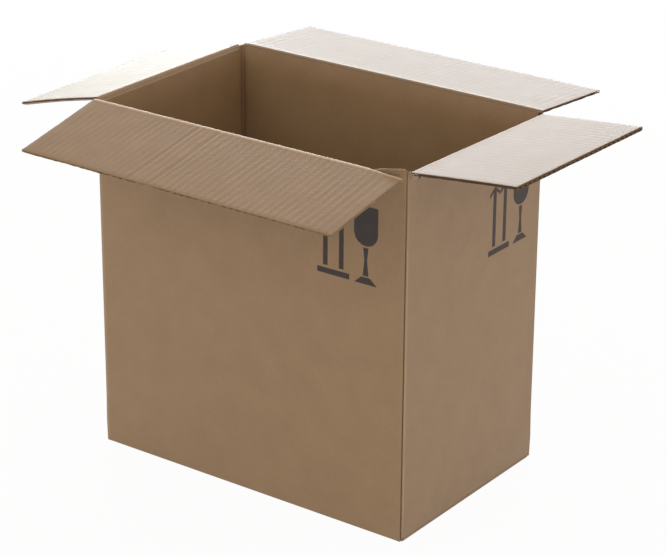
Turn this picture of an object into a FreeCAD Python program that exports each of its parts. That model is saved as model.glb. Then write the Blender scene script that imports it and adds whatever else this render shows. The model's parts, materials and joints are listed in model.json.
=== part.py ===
import FreeCAD, Part
import math
import os
import Sketcher

# Open cardboard box, built as the folded blank it is made from.
# X runs along the long walls, Y along the short walls, Z up.
# The front is the long wall at -Y, the side with the second print is at +X.
# The origin is the centre of the underside. All sizes are in millimetres.

os.makedirs("parts", exist_ok=True)
doc = FreeCAD.newDocument("open_cardboard_box")

SIZES = [
    # the erected box
    ("box_length", 363.0, "outer length of the long walls"),
    ("box_width", 227.0, "outer length of the short walls"),
    ("board", 4.0, "thickness of the single wall corrugated board"),
    ("fold_radius", 3.5, "outer radius of a folded corner"),
    ("inner_radius", 1.0, "inner radius of a folded corner"),
    # flaps and the creases that they turn on
    ("flap_seam", 6.0, "gap between the two long side top flaps folded shut"),
    ("major_crease_height", 362.4, "crease of the long side flaps above the underside"),
    ("crease_step", 4.3, "short side creases sit this much lower, one board and air"),
    ("knuckle_radius", 1.4, "half height of the crushed board on the crease"),
    ("crease_gap", 0.3, "air between the crushed crease and the wall under it"),
    ("score_slope", 3.2, "length over which crushed board regains its thickness"),
    ("major_inset", 1.8, "slot at each end of a long side flap, at the crease"),
    ("minor_inset", 4.3, "slot at each end of a short side flap, at the crease"),
    ("major_taper", 1.7, "how much wider that slot is at the free edge"),
    ("minor_taper", 3.7, "how much wider that slot is at the free edge"),
    # how far each flap hangs below level, in degrees, as photographed
    ("front_droop_angle", 11.0, "front flap, below level"),
    ("back_droop_angle", 5.4, "back flap, below level"),
    ("left_droop_angle", 13.7, "left flap, below level"),
    ("right_lift_angle", 7.8, "right flap, above level"),
    # lines pressed across the front flap by the folding machine
    ("press_first", -47.5, "first pressed line, from the middle of the flap"),
    ("press_second", -22.7, "second pressed line, from the middle of the flap"),
    ("press_width", 4.0, "width of a pressed line"),
    ("press_depth", 0.5, "depth of a pressed line"),
    # closed bottom
    ("bottom_seam", 3.0, "gap between the two outer bottom flaps"),
    ("bottom_inset", 1.5, "slot at each end of the outer bottom flaps"),
    ("inner_inset", 7.0, "slot at each end of the inner bottom flaps"),
    # glued joint at the back right corner
    ("tab_width", 35.0, "width of the glue tab inside the right wall"),
    ("tab_low", 14.0, "lower end of the glue tab"),
    ("tab_high", 346.0, "upper end of the glue tab"),
    ("tab_taper", 9.0, "rise of the slanted ends of the glue tab"),
    ("joint_recess", 1.0, "cut edge of the right wall, in from the back wall"),
    ("joint_groove", 2.2, "depth of the groove beside the folded tab"),
    # printed handling marks
    ("ink", 0.15, "thickness of the ink film"),
    ("front_mark_drop", 110.9, "underside of the front marks below the front crease"),
    ("side_mark_drop", 118.4, "underside of the side marks below the front crease"),
    ("front_arrows_in", 80.2, "middle of the arrows on the front wall, in from its right end"),
    ("front_glass_in", 43.9, "middle of the glass on the front wall, in from its right end"),
    ("side_arrows_in", 72.0, "middle of the arrows on the right wall, in from its back end"),
    ("side_glass_in", 35.0, "middle of the glass on the right wall, in from its back end"),
    ("bar_width", 36.0, "bar under the arrows"),
    ("bar_height", 5.5, "bar under the arrows"),
    ("arrow_pitch", 18.0, "distance between the two arrows"),
    ("arrow_foot", 8.2, "foot of an arrow above the mark base"),
    ("arrow_top", 68.3, "tip of an arrow above the mark base"),
    ("shaft_half", 2.5, "half width of an arrow shaft"),
    ("barb_half", 8.5, "half width of an arrow head"),
    ("barb_drop", 6.2, "drop of an arrow head from tip to barb"),
    ("barb_thick", 3.6, "height of the barb's end"),
    ("bowl_half", 13.2, "half width of the bowl of the glass"),
    ("bowl_top", 75.7, "rim of the glass above the mark base"),
    ("bowl_low", 37.2, "lowest point of the bowl above the mark base"),
    ("rim_round", 2.0, "rounding of the rim corners"),
    ("stem_top", 35.4, "upper end of the stem"),
    ("stem_waist", 23.0, "height of the narrowest point of the stem"),
    ("stem_low", 8.0, "lower end of the stem"),
    ("stem_top_half", 2.8, "half width of the stem at its upper end"),
    ("stem_waist_half", 1.4, "half width of the stem at its waist"),
    ("stem_low_half", 3.1, "half width of the stem at its lower end"),
    ("foot_top", 6.6, "top of the foot of the glass"),
    ("foot_top_half", 4.8, "half width of the foot at its top"),
    ("foot_half", 12.4, "half width of the foot at its base"),
]

sheet = doc.addObject("Spreadsheet::Sheet", "Sizes")
VALUE = {}
for row, (alias, number, note) in enumerate(SIZES, start=1):
    sheet.set("A%d" % row, alias)
    sheet.set("B%d" % row, repr(number))
    sheet.set("C%d" % row, note)
    sheet.setAlias("B%d" % row, alias)
    VALUE[alias] = number
doc.recompute()


def number_of(formula):
    """Value of a formula written with the aliases, used to draw the first outline."""
    text = formula
    for alias in sorted(VALUE, key=len, reverse=True):
        text = text.replace("Sizes." + alias, repr(VALUE[alias]))
    return FreeCAD.Units.Quantity(text).Value


def origin_plane(body, role):
    """Origin plane of a body, found by its role."""
    for feature in body.Origin.OriginFeatures:
        if feature.Role == role:
            return feature
    raise RuntimeError("no plane " + role)


def hold_point(sketch, geometry, end, across, up):
    """Hold one end of a line at two formulas, measured from the sketch origin."""
    for kind, axis, formula in (("DistanceX", -2, across), ("DistanceY", -1, up)):
        value = number_of(formula)
        if abs(value) < 1e-9:
            sketch.addConstraint(Sketcher.Constraint("PointOnObject", geometry, end, axis))
            continue
        if value > 0:
            made = Sketcher.Constraint(kind, -1, 1, geometry, end, value)
            bound = formula
        else:
            made = Sketcher.Constraint(kind, geometry, end, -1, 1, -value)
            bound = "-(" + formula + ")"
        index = sketch.addConstraint(made)
        sketch.setExpression("Constraints[%d]" % index, bound)


def draw_outline(sketch, corners):
    """Draw one closed outline.

    corners is a list of (across, up) formulas. A third entry makes the edge that
    leaves the corner an arc: (centre across, centre up, radius formula, turn),
    with turn +1 where the arc runs anticlockwise.
    """
    points = [FreeCAD.Vector(number_of(c[0]), number_of(c[1]), 0) for c in corners]
    count = len(corners)
    ends = []
    for index, corner in enumerate(corners):
        start = points[index]
        stop = points[(index + 1) % count]
        if len(corner) == 2:
            made = sketch.addGeometry(Part.LineSegment(start, stop), False)
            ends.append((made, 1, 2))
            continue
        middle_x, middle_y, radius, turn = corner[2]
        middle = FreeCAD.Vector(number_of(middle_x), number_of(middle_y), 0)
        first = math.atan2(start.y - middle.y, start.x - middle.x)
        last = math.atan2(stop.y - middle.y, stop.x - middle.x)
        circle = Part.Circle(middle, FreeCAD.Vector(0, 0, 1), number_of(radius))
        if turn > 0:
            if last <= first:
                last += 2.0 * math.pi
            made = sketch.addGeometry(Part.ArcOfCircle(circle, first, last), False)
            ends.append((made, 1, 2))
        else:
            if first <= last:
                first += 2.0 * math.pi
            made = sketch.addGeometry(Part.ArcOfCircle(circle, last, first), False)
            ends.append((made, 2, 1))
        index_radius = sketch.addConstraint(Sketcher.Constraint("Radius", made, number_of(radius)))
        sketch.setExpression("Constraints[%d]" % index_radius, radius)
    for index, corner in enumerate(corners):
        this = ends[index]
        before = ends[index - 1]
        sketch.addConstraint(Sketcher.Constraint("Coincident", before[0], before[2], this[0], this[1]))
        hold_point(sketch, this[0], this[1], corner[0], corner[1])


def body_sketch(body, label, role, height=None):
    """Sketch on an origin plane of a body, raised by a formula where one is given."""
    sketch = body.newObject("Sketcher::SketchObject", label)
    sketch.AttachmentSupport = [(origin_plane(body, role), "")]
    sketch.MapMode = "FlatFace"
    if height is not None:
        sketch.AttachmentOffset = FreeCAD.Placement(
            FreeCAD.Vector(0, 0, number_of(height)), FreeCAD.Rotation()
        )
        sketch.setExpression(".AttachmentOffset.Base.z", height)
    return sketch


def add_pad(body, sketch, label, length, both_ways=False):
    """Raise a sketch by a formula."""
    pad = body.newObject("PartDesign::Pad", label)
    pad.Profile = sketch
    pad.Length = number_of(length)
    pad.setExpression("Length", length)
    pad.Midplane = both_ways
    sketch.Visibility = False
    return pad


def add_pocket(body, sketch, label, length, both_ways=False, upward=False):
    """Cut a sketch away, down from its plane unless told otherwise."""
    pocket = body.newObject("PartDesign::Pocket", label)
    pocket.Profile = sketch
    pocket.Length = number_of(length)
    pocket.setExpression("Length", length)
    pocket.Midplane = both_ways
    pocket.Reversed = upward
    sketch.Visibility = False
    return pocket


def rectangle(low_x, low_y, high_x, high_y):
    """Four corners of a rectangle as formulas."""
    return [(low_x, low_y), (high_x, low_y), (high_x, high_y), (low_x, high_y)]


HALF_LENGTH = "Sizes.box_length / 2"
HALF_WIDTH = "Sizes.box_width / 2"
BOARD = "Sizes.board"
FLAP_LENGTH = "(Sizes.box_width - Sizes.flap_seam) / 2"
BOTTOM_REACH = "(Sizes.box_width - Sizes.bottom_seam) / 2"
FRONT_BASE = "(Sizes.major_crease_height - Sizes.front_mark_drop)"
SIDE_BASE = "(Sizes.major_crease_height - Sizes.side_mark_drop)"
MAJOR_AXIS = "Sizes.major_crease_height"
MINOR_AXIS = "(Sizes.major_crease_height - Sizes.crease_step)"
MAJOR_TOP = "(Sizes.major_crease_height - Sizes.knuckle_radius - Sizes.crease_gap)"


def build_box_body():
    """Four walls, folded corners, glued bottom flaps and the glue tab, as one board."""
    body = doc.addObject("PartDesign::Body", "box_body")
    body.Label = "box_body"

    # walls: outer outline with three folded corners and the glued joint
    right = HALF_LENGTH
    left = "-Sizes.box_length / 2"
    back = HALF_WIDTH
    front = "-Sizes.box_width / 2"
    bend = "Sizes.fold_radius"
    walls = body_sketch(body, "wall_outline", "XY_Plane")
    outer = [
        (left + " + " + bend, front),
        (right + " - " + bend, front, (right + " - " + bend, front + " + " + bend, bend, 1)),
        (right, front + " + " + bend),
        (right, back + " - Sizes.joint_recess"),
        (right + " - " + BOARD, back + " - Sizes.joint_recess"),
        (right + " - " + BOARD, back + " - Sizes.joint_groove"),
        (right + " - " + BOARD + " - Sizes.joint_groove", back),
        (left + " + " + bend, back, (left + " + " + bend, back + " - " + bend, bend, 1)),
        (left, back + " - " + bend),
        (left, front + " + " + bend, (left + " + " + bend, front + " + " + bend, bend, 1)),
    ]
    draw_outline(walls, outer)
    soft = "Sizes.inner_radius"
    in_right = right + " - " + BOARD
    in_left = left + " + " + BOARD
    in_back = back + " - " + BOARD
    in_front = front + " + " + BOARD
    inner = []
    for side, wall, first, second in (
        (in_right, in_front, (-1, 0), (0, 1)),
        (in_right, in_back, (0, -1), (-1, 0)),
        (in_left, in_back, (1, 0), (0, -1)),
        (in_left, in_front, (0, 1), (1, 0)),
    ):
        signs = {-1: " - " + soft, 0: "", 1: " + " + soft}
        middle_x = side + signs[first[0] + second[0]]
        middle_y = wall + signs[first[1] + second[1]]
        inner.append((side + signs[first[0]], wall + signs[first[1]], (middle_x, middle_y, soft, 1)))
        inner.append((side + signs[second[0]], wall + signs[second[1]]))
    draw_outline(walls, inner)
    add_pad(body, walls, "walls", MAJOR_TOP)

    # outer bottom flaps, folded in from the long walls, with the seam between them
    outer_flaps = body_sketch(body, "outer_bottom_outline", "XY_Plane")
    inset = "Sizes.bottom_inset"
    reach = BOTTOM_REACH
    flap_left = left + " + " + inset
    flap_right = right + " - " + inset
    draw_outline(outer_flaps, rectangle(flap_left, front + " + Sizes.inner_radius", flap_right, front + " + " + reach))
    draw_outline(outer_flaps, rectangle(flap_left, back + " - " + reach, flap_right, back + " - Sizes.inner_radius"))
    add_pad(body, outer_flaps, "outer_bottom_flaps", BOARD)

    # inner bottom flaps, folded in from the short walls and glued to the outer ones
    inner_flaps = body_sketch(body, "inner_bottom_outline", "XY_Plane", BOARD)
    low = front + " + Sizes.inner_inset"
    high = back + " - Sizes.inner_inset"
    draw_outline(inner_flaps, rectangle(left + " + Sizes.inner_radius", low, left + " + " + reach, high))
    draw_outline(inner_flaps, rectangle(right + " - " + reach, low, right + " - Sizes.inner_radius", high))
    add_pad(body, inner_flaps, "inner_bottom_flaps", BOARD)

    # slots at the ends of the outer bottom flaps, one board high
    slots = body_sketch(body, "bottom_slot_outline", "XY_Plane")
    beyond = " + Sizes.board"
    under = " - Sizes.board"
    draw_outline(slots, rectangle(flap_right, front + under, right + beyond, back + beyond))
    draw_outline(slots, rectangle(left + under, front + under, flap_left, back + beyond))
    add_pocket(body, slots, "bottom_slots", BOARD, upward=True)

    # the folds along the bottom edges, rounded on the outside
    for label, role, edge, far, level in (
        ("front_bottom_fold", "YZ_Plane", front, -1, "0"),
        ("back_bottom_fold", "YZ_Plane", back, 1, "0"),
        ("left_bottom_fold", "XZ_Plane", left, -1, BOARD),
        ("right_bottom_fold", "XZ_Plane", right, 1, BOARD),
    ):
        toward = " - " if far > 0 else " + "
        away = " + " if far > 0 else " - "
        fold = body_sketch(body, label + "_outline", role)
        middle = (edge + toward + bend, level + " + " + bend, bend, far)
        if level == "0":
            middle = (edge + toward + bend, bend, bend, far)
        raised = bend if level == "0" else level + " + " + bend
        below = "-Sizes.board / 2" if level == "0" else level + " - Sizes.board / 2"
        draw_outline(
            fold,
            [
                (edge + toward + bend, level, middle),
                (edge, raised),
                (edge + away + "Sizes.board", raised),
                (edge + away + "Sizes.board", below),
                (edge + toward + bend, below),
            ],
        )
        add_pocket(body, fold, label, "Sizes.box_length * 2", both_ways=True)

    # the short walls and the corners end lower than the long walls
    lowered = body_sketch(body, "short_wall_top_outline", "XY_Plane", MAJOR_TOP)
    for near, outside, sign in ((right, right + beyond, -1), (left, left + under, 1)):
        step = " - " if sign < 0 else " + "
        corner = near + step + "Sizes.major_inset"
        inside = near + step + "Sizes.board" + step + "Sizes.board / 2"
        wall_low = front + " + Sizes.board"
        wall_high = back + " - Sizes.board"
        points = [
            (outside, front + under),
            (outside, back + beyond),
            (corner, back + beyond),
            (corner, wall_high),
            (inside, wall_high),
            (inside, wall_low),
            (corner, wall_low),
            (corner, front + under),
        ]
        draw_outline(lowered, points)
    add_pocket(body, lowered, "short_wall_tops", "Sizes.crease_step")

    # glue tab: the end of the back wall, folded in and glued inside the right wall
    tab = body_sketch(body, "tab_outline", "YZ_Plane", right + " - " + BOARD + " - " + BOARD)
    root = back + " - " + BOARD + " / 2"
    end = back + " - " + BOARD + " - Sizes.tab_width"
    draw_outline(
        tab,
        [
            (end, "Sizes.tab_low + Sizes.tab_taper"),
            (root, "Sizes.tab_low"),
            (root, "Sizes.tab_high"),
            (end, "Sizes.tab_high - Sizes.tab_taper"),
        ],
    )
    add_pad(body, tab, "glue_tab", BOARD + " + Sizes.board / 2")
    return body


def build_flap(name, role, side, half_crease, taper, place, turn_axis, turn, pressed=False):
    """One top flap: crushed crease, sloping score and full board, on its own crease.

    side is +1 where the flap opens towards the positive axis of its sketch plane.
    half_crease and taper are formulas: half the crease, and how far each end narrows.
    place holds the formulas of the crease's middle. turn is the rest angle's alias.
    """
    body = doc.addObject("PartDesign::Body", name)
    body.Label = name
    sign = "" if side > 0 else "-"

    def across(formula):
        return sign + "(" + formula + ")"

    knuckle = "Sizes.knuckle_radius"
    clear = "Sizes.board + Sizes.crease_gap"
    profile = body_sketch(body, name + "_profile", role)
    if side > 0:
        points = [
            (across(knuckle), "0"),
            (across(FLAP_LENGTH), "0"),
            (across(FLAP_LENGTH), BOARD),
            (across(clear + " + Sizes.score_slope"), BOARD),
            (across(clear), knuckle),
            ("0", knuckle, ("0", "0", knuckle, 1)),
        ]
    else:
        points = [
            ("0", knuckle),
            (across(clear), knuckle),
            (across(clear + " + Sizes.score_slope"), BOARD),
            (across(FLAP_LENGTH), BOARD),
            (across(FLAP_LENGTH), "0"),
            (across(knuckle), "0", ("0", "0", knuckle, 1)),
        ]
    draw_outline(profile, points)
    add_pad(body, profile, name + "_board", "2 * (" + half_crease + ")", both_ways=True)

    # the ends narrow from the crease to the free edge
    ends = body_sketch(body, name + "_taper_outline", "XY_Plane")
    for end in (1, -1):
        outward = "" if end > 0 else "-"

        def along(formula, outward=outward):
            return outward + "(" + formula + ")"

        wedge = [
            (along(half_crease), across(clear)),
            (along(half_crease + " - " + taper), across(FLAP_LENGTH)),
            (along(half_crease + " - " + taper), across(FLAP_LENGTH + " + Sizes.board")),
            (along(half_crease + " + Sizes.board"), across(FLAP_LENGTH + " + Sizes.board")),
            (along(half_crease + " + Sizes.board"), across(clear)),
        ]
        if role == "XZ_Plane":
            wedge = [(second, first) for first, second in wedge]
        draw_outline(ends, wedge)
    add_pocket(body, ends, name + "_taper", "4 * Sizes.board", both_ways=True)

    if pressed:
        lines = body_sketch(body, name + "_pressed_outline", "XY_Plane", BOARD)
        start = across(clear + " + Sizes.score_slope")
        stop = across(FLAP_LENGTH + " + Sizes.board")
        low_y, high_y = (start, stop) if side > 0 else (stop, start)
        for middle in ("Sizes.press_first", "Sizes.press_second"):
            low_x = middle + " - Sizes.press_width / 2"
            high_x = middle + " + Sizes.press_width / 2"
            draw_outline(lines, rectangle(low_x, low_y, high_x, high_y))
        add_pocket(body, lines, name + "_pressed_lines", "Sizes.press_depth")

    base = FreeCAD.Vector(number_of(place[0]), number_of(place[1]), number_of(place[2]))
    body.Placement = FreeCAD.Placement(base, FreeCAD.Rotation(turn_axis, VALUE[turn]))
    for axis, formula in zip("xyz", place):
        body.setExpression(".Placement.Base." + axis, formula)
    body.setExpression(".Placement.Rotation.Angle", "Sizes." + turn)
    return body


def glass_outlines(middle, floor):
    """Bowl, stem and foot of the fragile mark, around a middle line, on a floor line."""
    base = floor + " + "

    def at(offset):
        return middle + " + " + offset

    def off(offset):
        return middle + " - " + offset

    rim = "Sizes.rim_round"
    half = "Sizes.bowl_half"
    top = base + "Sizes.bowl_top"
    round_level = base + "Sizes.bowl_low + Sizes.bowl_half"
    bowl = [
        (off(half), round_level, (middle, round_level, half, 1)),
        (middle, base + "Sizes.bowl_low", (middle, round_level, half, 1)),
        (at(half), round_level),
        (at(half), top + " - " + rim, (at(half + " - " + rim), top + " - " + rim, rim, 1)),
        (at(half + " - " + rim), top),
        (off(half + " + " + rim), top, (off(half + " + " + rim), top + " - " + rim, rim, 1)),
        (off(half), top + " - " + rim),
    ]
    stem = [
        (off("Sizes.stem_low_half"), base + "Sizes.stem_low"),
        (at("Sizes.stem_low_half"), base + "Sizes.stem_low"),
        (at("Sizes.stem_waist_half"), base + "Sizes.stem_waist"),
        (at("Sizes.stem_top_half"), base + "Sizes.stem_top"),
        (off("Sizes.stem_top_half"), base + "Sizes.stem_top"),
        (off("Sizes.stem_waist_half"), base + "Sizes.stem_waist"),
    ]
    foot = [
        (off("Sizes.foot_half"), floor),
        (at("Sizes.foot_half"), floor),
        (at("Sizes.foot_top_half"), base + "Sizes.foot_top"),
        (off("Sizes.foot_top_half"), base + "Sizes.foot_top"),
    ]
    return [bowl, stem, foot]


def arrow_outlines(middle, floor):
    """Two upright arrows over a bar, the mark for this way up, on a floor line."""
    base = floor + " + "
    half = "Sizes.bar_width / 2"
    bar = rectangle(
        middle + " - " + half,
        floor,
        middle + " + " + half,
        base + "Sizes.bar_height",
    )
    outlines = [bar]
    for step in (" - Sizes.arrow_pitch / 2", " + Sizes.arrow_pitch / 2"):
        centre = middle + step
        tip = base + "Sizes.arrow_top"
        barb_top = tip + " - Sizes.barb_drop"
        barb_low = barb_top + " - Sizes.barb_thick"
        neck = tip + " - Sizes.barb_thick * 1.4"
        outlines.append(
            [
                (centre + " - Sizes.shaft_half", base + "Sizes.arrow_foot"),
                (centre + " + Sizes.shaft_half", base + "Sizes.arrow_foot"),
                (centre + " + Sizes.shaft_half", neck),
                (centre + " + Sizes.barb_half", barb_low),
                (centre + " + Sizes.barb_half", barb_top),
                (centre, tip),
                (centre + " - Sizes.barb_half", barb_top),
                (centre + " - Sizes.barb_half", barb_low),
                (centre + " - Sizes.shaft_half", neck),
            ]
        )
    return outlines


def build_marks(name, arrows, glass, floor, place, rotation, direction):
    """Printed handling marks: thin ink on the outside of one wall."""
    sketch = doc.addObject("Sketcher::SketchObject", name + "_outline")
    for outline in arrow_outlines(arrows, floor) + glass_outlines(glass, floor):
        draw_outline(sketch, outline)
    sketch.Placement = FreeCAD.Placement(
        FreeCAD.Vector(number_of(place[0]), number_of(place[1]), 0), rotation
    )
    sketch.setExpression(".Placement.Base.x", place[0])
    sketch.setExpression(".Placement.Base.y", place[1])
    film = doc.addObject("Part::Extrusion", name)
    film.Label = name
    film.Base = sketch
    film.DirMode = "Custom"
    film.Dir = direction
    film.LengthFwd = VALUE["ink"]
    film.setExpression("LengthFwd", "Sizes.ink")
    film.Solid = True
    sketch.Visibility = False
    return film


X_AXIS = FreeCAD.Vector(1, 0, 0)
Y_AXIS = FreeCAD.Vector(0, 1, 0)
Z_AXIS = FreeCAD.Vector(0, 0, 1)

LONG_CREASE = "Sizes.box_length / 2 - Sizes.major_inset"
SHORT_CREASE = "Sizes.box_width / 2 - Sizes.minor_inset"

parts = [build_box_body()]
parts.append(
    build_flap(
        "front_flap",
        "YZ_Plane",
        -1,
        LONG_CREASE,
        "Sizes.major_taper",
        ("0", "-Sizes.box_width / 2", MAJOR_AXIS),
        X_AXIS,
        "front_droop_angle",
        pressed=True,
    )
)
parts.append(
    build_flap(
        "back_flap",
        "YZ_Plane",
        1,
        LONG_CREASE,
        "Sizes.major_taper",
        ("0", HALF_WIDTH, MAJOR_AXIS),
        X_AXIS * -1,
        "back_droop_angle",
    )
)
parts.append(
    build_flap(
        "left_flap",
        "XZ_Plane",
        -1,
        SHORT_CREASE,
        "Sizes.minor_taper",
        ("-Sizes.box_length / 2", "0", MINOR_AXIS),
        Y_AXIS * -1,
        "left_droop_angle",
    )
)
parts.append(
    build_flap(
        "right_flap",
        "XZ_Plane",
        1,
        SHORT_CREASE,
        "Sizes.minor_taper",
        (HALF_LENGTH, "0", MINOR_AXIS),
        Y_AXIS * -1,
        "right_lift_angle",
    )
)

# front marks stand on the wall at -Y, side marks on the wall at +X
upright = FreeCAD.Rotation(X_AXIS, 90)
sideways = FreeCAD.Rotation(Z_AXIS, 90).multiply(upright)
parts.append(
    build_marks(
        "front_handling_marks",
        HALF_LENGTH + " - Sizes.front_arrows_in",
        HALF_LENGTH + " - Sizes.front_glass_in",
        FRONT_BASE,
        ("0", "-Sizes.box_width / 2"),
        upright,
        Y_AXIS * -1,
    )
)
parts.append(
    build_marks(
        "side_handling_marks",
        HALF_WIDTH + " - Sizes.side_arrows_in",
        HALF_WIDTH + " - Sizes.side_glass_in",
        SIDE_BASE,
        (HALF_LENGTH, "0"),
        sideways,
        X_AXIS,
    )
)

doc.recompute()

for item in doc.Objects:
    states = [str(state) for state in item.State]
    if "Invalid" in states or "Error" in states:
        raise RuntimeError("%s did not build: %s" % (item.Name, states))

for item in parts:
    shape = item.Shape
    if shape.isNull() or not shape.isValid():
        raise RuntimeError("%s has no valid shape" % item.Label)
    if not shape.Solids:
        raise RuntimeError("%s has no solid" % item.Label)
    shape.exportStep("parts/%s.step" % item.Label)
    box = shape.BoundBox
    print(
        "%-22s solids %d volume %.0f mm3 x %.1f %.1f y %.1f %.1f z %.1f %.1f"
        % (
            item.Label,
            len(shape.Solids),
            shape.Volume,
            box.XMin,
            box.XMax,
            box.YMin,
            box.YMax,
            box.ZMin,
            box.ZMax,
        )
    )
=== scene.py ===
import json
import logging
import math
from collections.abc import Callable, Iterable
from dataclasses import dataclass, field, replace
from enum import Enum

import bmesh
import bpy
from mathutils import Matrix, Vector, noise


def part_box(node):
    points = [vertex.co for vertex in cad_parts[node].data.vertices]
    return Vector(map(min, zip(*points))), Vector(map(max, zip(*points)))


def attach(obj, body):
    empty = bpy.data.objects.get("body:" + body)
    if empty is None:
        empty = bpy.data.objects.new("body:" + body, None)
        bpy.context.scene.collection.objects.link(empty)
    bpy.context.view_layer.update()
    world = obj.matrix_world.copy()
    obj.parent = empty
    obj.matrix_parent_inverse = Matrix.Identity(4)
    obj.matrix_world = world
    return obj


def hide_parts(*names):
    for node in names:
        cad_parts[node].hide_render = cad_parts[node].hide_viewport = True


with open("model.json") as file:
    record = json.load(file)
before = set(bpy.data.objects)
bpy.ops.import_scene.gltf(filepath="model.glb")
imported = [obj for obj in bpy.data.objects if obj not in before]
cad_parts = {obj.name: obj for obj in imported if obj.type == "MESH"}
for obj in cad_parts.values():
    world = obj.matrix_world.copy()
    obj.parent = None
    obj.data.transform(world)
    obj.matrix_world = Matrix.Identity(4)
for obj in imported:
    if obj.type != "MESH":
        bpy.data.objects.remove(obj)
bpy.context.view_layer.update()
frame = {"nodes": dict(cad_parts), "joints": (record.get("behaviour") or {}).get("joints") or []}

log = logging.getLogger("cardboard_box")
MM = 0.001
UP = Vector((0.0, 0.0, 1.0))
PAINTED_LIGHT_AND_EDGE_TONE = "painted_light_and_edge_tone"
Colour = tuple[float, float, float]


# Small helpers


def smooth(value: float) -> float:
    """Return the smooth step of a value, held between 0 and 1."""
    held = min(1.0, max(0.0, value))
    return held * held * (3.0 - 2.0 * held)


def hump(distance: float, width: float) -> float:
    """Return a bell that is 1 at no distance and falls off over the width."""
    return math.exp(-((distance / width) ** 2))


def spread(*spans: tuple[float, float, int]) -> list[float]:
    """Return stations along a line, from spans that follow each other.

    Args:
        spans: Each span's first place, last place and number of equal steps.

    Returns:
        The places in order, with the place that two spans share only once.
    """
    places = [spans[0][0]]
    for first, last, steps in spans:
        places += [first + (last - first) * step / steps for step in range(1, steps + 1)]
    return places


class Paper(Enum):
    """The material places on a piece of board."""

    FACE = 0
    CUT = 1


# Shader node groups


@dataclass(frozen=True)
class NodePlace:
    """A node tree that is being filled, with short calls to add and join nodes."""

    tree: bpy.types.NodeTree

    def add(self, kind: str, **settings: object) -> bpy.types.Node:
        """Add one node.

        Args:
            kind: The node's type name.
            settings: Properties of the node by name.

        Returns:
            The new node.
        """
        node = self.tree.nodes.new(kind)
        for name, value in settings.items():
            setattr(node, name, value)
        return node

    def join(self, source: bpy.types.NodeSocket, target: bpy.types.NodeSocket) -> None:
        """Link an output to an input."""
        self.tree.links.new(source, target)

    def math(self, operation: str, first: object, second: object = None) -> bpy.types.NodeSocket:
        """Add a math node.

        Args:
            operation: The operation's name.
            first: A socket or a number.
            second: A socket, a number or nothing.

        Returns:
            The node's output.
        """
        node = self.add("ShaderNodeMath", operation=operation)
        for socket, value in zip(node.inputs, (first, second)):
            if isinstance(value, bpy.types.NodeSocket):
                self.join(value, socket)
            elif value is not None:
                socket.default_value = value
        return node.outputs[0]

    def span(self, value: bpy.types.NodeSocket, low: float, high: float) -> bpy.types.NodeSocket:
        """Return a value of 0 to 1 stretched to run from low to high."""
        node = self.add("ShaderNodeMapRange")
        self.join(value, node.inputs["Value"])
        node.inputs["To Min"].default_value = low
        node.inputs["To Max"].default_value = high
        return node.outputs["Result"]

    def mix(
        self, factor: bpy.types.NodeSocket, first: object, second: object
    ) -> bpy.types.NodeSocket:
        """Add a colour mix.

        Args:
            factor: The mask, where 0 is the first colour.
            first: A colour socket or a colour.
            second: A colour socket or a colour.

        Returns:
            The mixed colour's socket.
        """
        node = self.add("ShaderNodeMix", data_type="RGBA")
        self.join(factor, node.inputs["Factor"])
        for name, value in (("A", first), ("B", second)):
            socket = next(s for s in node.inputs if s.name == name and s.type == "RGBA")
            if isinstance(value, bpy.types.NodeSocket):
                self.join(value, socket)
            else:
                socket.default_value = (*value, 1.0)
        return next(s for s in node.outputs if s.type == "RGBA")


def new_group(
    name: str, inputs: dict[str, object], outputs: Iterable[str]
) -> tuple[bpy.types.NodeTree, NodePlace, bpy.types.Node, bpy.types.Node]:
    """Make an empty shader node group.

    Args:
        name: The group's name.
        inputs: Each input's name with its value, a number or a vector.
        outputs: The names of the outputs, all plain values.

    Returns:
        The group, its node place, its input node and its output node.
    """
    group = bpy.data.node_groups.new(name, "ShaderNodeTree")
    for title, value in inputs.items():
        kind = "NodeSocketFloat" if isinstance(value, float) else "NodeSocketVector"
        socket = group.interface.new_socket(title, in_out="INPUT", socket_type=kind)
        if isinstance(value, float):
            socket.default_value = value
    for title in outputs:
        group.interface.new_socket(title, in_out="OUTPUT", socket_type="NodeSocketFloat")
    place = NodePlace(group)
    return group, place, place.add("NodeGroupInput"), place.add("NodeGroupOutput")


def make_pulp_group() -> bpy.types.NodeTree:
    """Make the group for brown paper: cloudy patches, short fibres and dark specks."""
    fibre_scale = (420.0, 420.0, 2600.0)
    speck_scale, speck_size = 260.0, 0.16
    group, place, source, result = new_group(
        "paper_pulp", {"Place": (0.0, 0.0, 0.0), "Patch Size": 0.03}, ("Cloud", "Fibre", "Speck")
    )
    inverse = place.math("DIVIDE", 1.0, source.outputs["Patch Size"])
    cloud = place.add("ShaderNodeTexNoise")
    cloud.inputs["Detail"].default_value = 5.0
    cloud.inputs["Roughness"].default_value = 0.6
    place.join(source.outputs["Place"], cloud.inputs["Vector"])
    place.join(inverse, cloud.inputs["Scale"])
    fibre_map = place.add("ShaderNodeMapping")
    fibre_map.inputs["Scale"].default_value = fibre_scale
    place.join(source.outputs["Place"], fibre_map.inputs["Vector"])
    fibre = place.add("ShaderNodeTexNoise")
    fibre.inputs["Scale"].default_value = 1.0
    fibre.inputs["Detail"].default_value = 3.0
    place.join(fibre_map.outputs["Vector"], fibre.inputs["Vector"])
    speck = place.add("ShaderNodeTexVoronoi")
    speck.inputs["Scale"].default_value = speck_scale
    place.join(source.outputs["Place"], speck.inputs["Vector"])
    near = place.math("LESS_THAN", speck.outputs["Distance"], speck_size)
    place.join(cloud.outputs["Fac"], result.inputs["Cloud"])
    place.join(fibre.outputs["Fac"], result.inputs["Fibre"])
    place.join(near, result.inputs["Speck"])
    return group


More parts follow.
